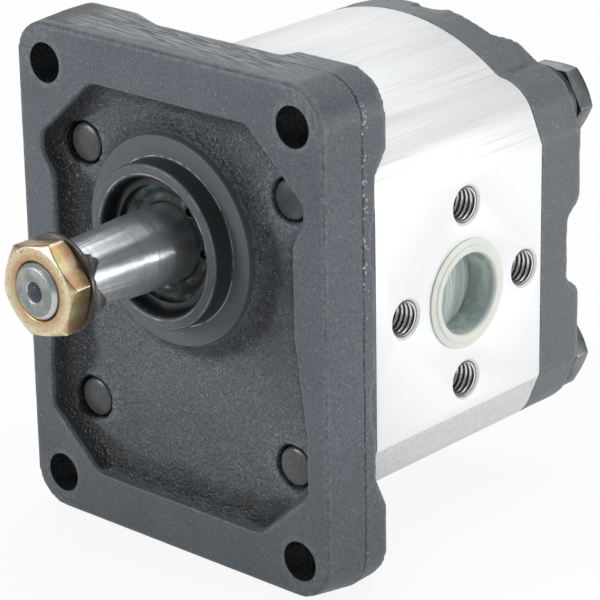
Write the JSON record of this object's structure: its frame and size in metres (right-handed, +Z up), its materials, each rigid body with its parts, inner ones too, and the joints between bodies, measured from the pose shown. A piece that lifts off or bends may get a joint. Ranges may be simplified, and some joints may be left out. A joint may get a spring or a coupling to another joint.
{
  "type": "hydraulic gear motor",
  "caption": "External gear hydraulic motor with cast iron flange and rear cover, aluminium gear housing, tapered shaft end with nut and tab washer, and dust plugs in the side ports",
  "frame": {"origin": "centre of the pilot, on the mounting face of the flange", "axes": "+Z up through the pilot and drive axis, -Y out of the mounting face along the shaft, +X to the side with the port seen in the picture"},
  "size_m": [0.0902, 0.1357, 0.1149],
  "materials": {
    "flange_paint": "thin dark grey paint on a fine cast iron skin, rough in the pocket, ground on the mounting face",
    "cover_paint": "blue grey paint on cast iron, with bright scratches on the edges",
    "body_aluminium": "bare extruded aluminium with faint lengthwise lines",
    "bolt_steel": "bare grey steel, partly covered with the dark paint",
    "washer_steel": "dark phosphated steel",
    "shaft_steel": "ground and polished steel",
    "nut_zinc": "zinc plated, yellow passivated with a pink and green sheen",
    "tab_steel": "stamped steel with bright sheared edges",
    "seal_case_steel": "pressed sheet steel",
    "seal_rubber": "black nitrile rubber with a thin film of oil",
    "ring_steel": "phosphated spring steel",
    "block_aluminium": "turned aluminium",
    "bush_bronze": "plain bearing bronze",
    "backup_plastic": "stiff off-white plastic",
    "dowel_steel": "ground steel",
    "plug_plastic": "thin translucent polyethylene, white with a green tint"
  },
  "bodies": {
    "casing": {"front_flange": "flange_paint", "gear_housing": "body_aluminium", "rear_cover": "cover_paint", "clamp_bolts": "bolt_steel", "spring_washers": "washer_steel", "shaft_seal_case": "seal_case_steel", "shaft_seal_lip": "seal_rubber", "seal_garter_spring": "seal_case_steel", "retaining_ring": "ring_steel", "front_bearing_block": "block_aluminium", "rear_bearing_block": "block_aluminium", "front_drive_bush": "bush_bronze", "front_driven_bush": "bush_bronze", "rear_drive_bush": "bush_bronze", "rear_driven_bush": "bush_bronze", "front_body_seal": "seal_rubber", "rear_body_seal": "seal_rubber", "front_balance_seal": "seal_rubber", "rear_balance_seal": "seal_rubber", "front_backup_rings": "backup_plastic", "rear_backup_rings": "backup_plastic", "front_dowels": "dowel_steel", "rear_dowels": "dowel_steel"},
    "drive_shaft": {"drive_gear_shaft": "shaft_steel", "shaft_key": "shaft_steel", "tab_washer": "tab_steel", "shaft_nut": "nut_zinc"},
    "driven_shaft": {"driven_gear_shaft": "shaft_steel"},
    "right_plug": {"port_plug_right": "plug_plastic"},
    "left_plug": {"port_plug_left": "plug_plastic"}
  },
  "joints": [
    {"name": "drive_spin", "type": "hinge", "parent": "casing", "child": "drive_shaft", "pos_m": [0, 0, 0], "axis": [0, 1, 0], "continuous": true},
    {"name": "driven_spin", "type": "hinge", "parent": "casing", "child": "driven_shaft", "pos_m": [0, 0, -0.031], "axis": [0, 1, 0], "continuous": true},
    {"name": "right_plug_pull", "type": "slide", "parent": "casing", "child": "right_plug", "axis": [1, 0, 0], "range_m": [0, 0.02]},
    {"name": "left_plug_pull", "type": "slide", "parent": "casing", "child": "left_plug", "axis": [-1, 0, 0], "range_m": [0, 0.02]}
  ],
  "couplings": [
    {"joint": "driven_spin", "follows": "drive_spin", "ratio": -1}
  ]
}
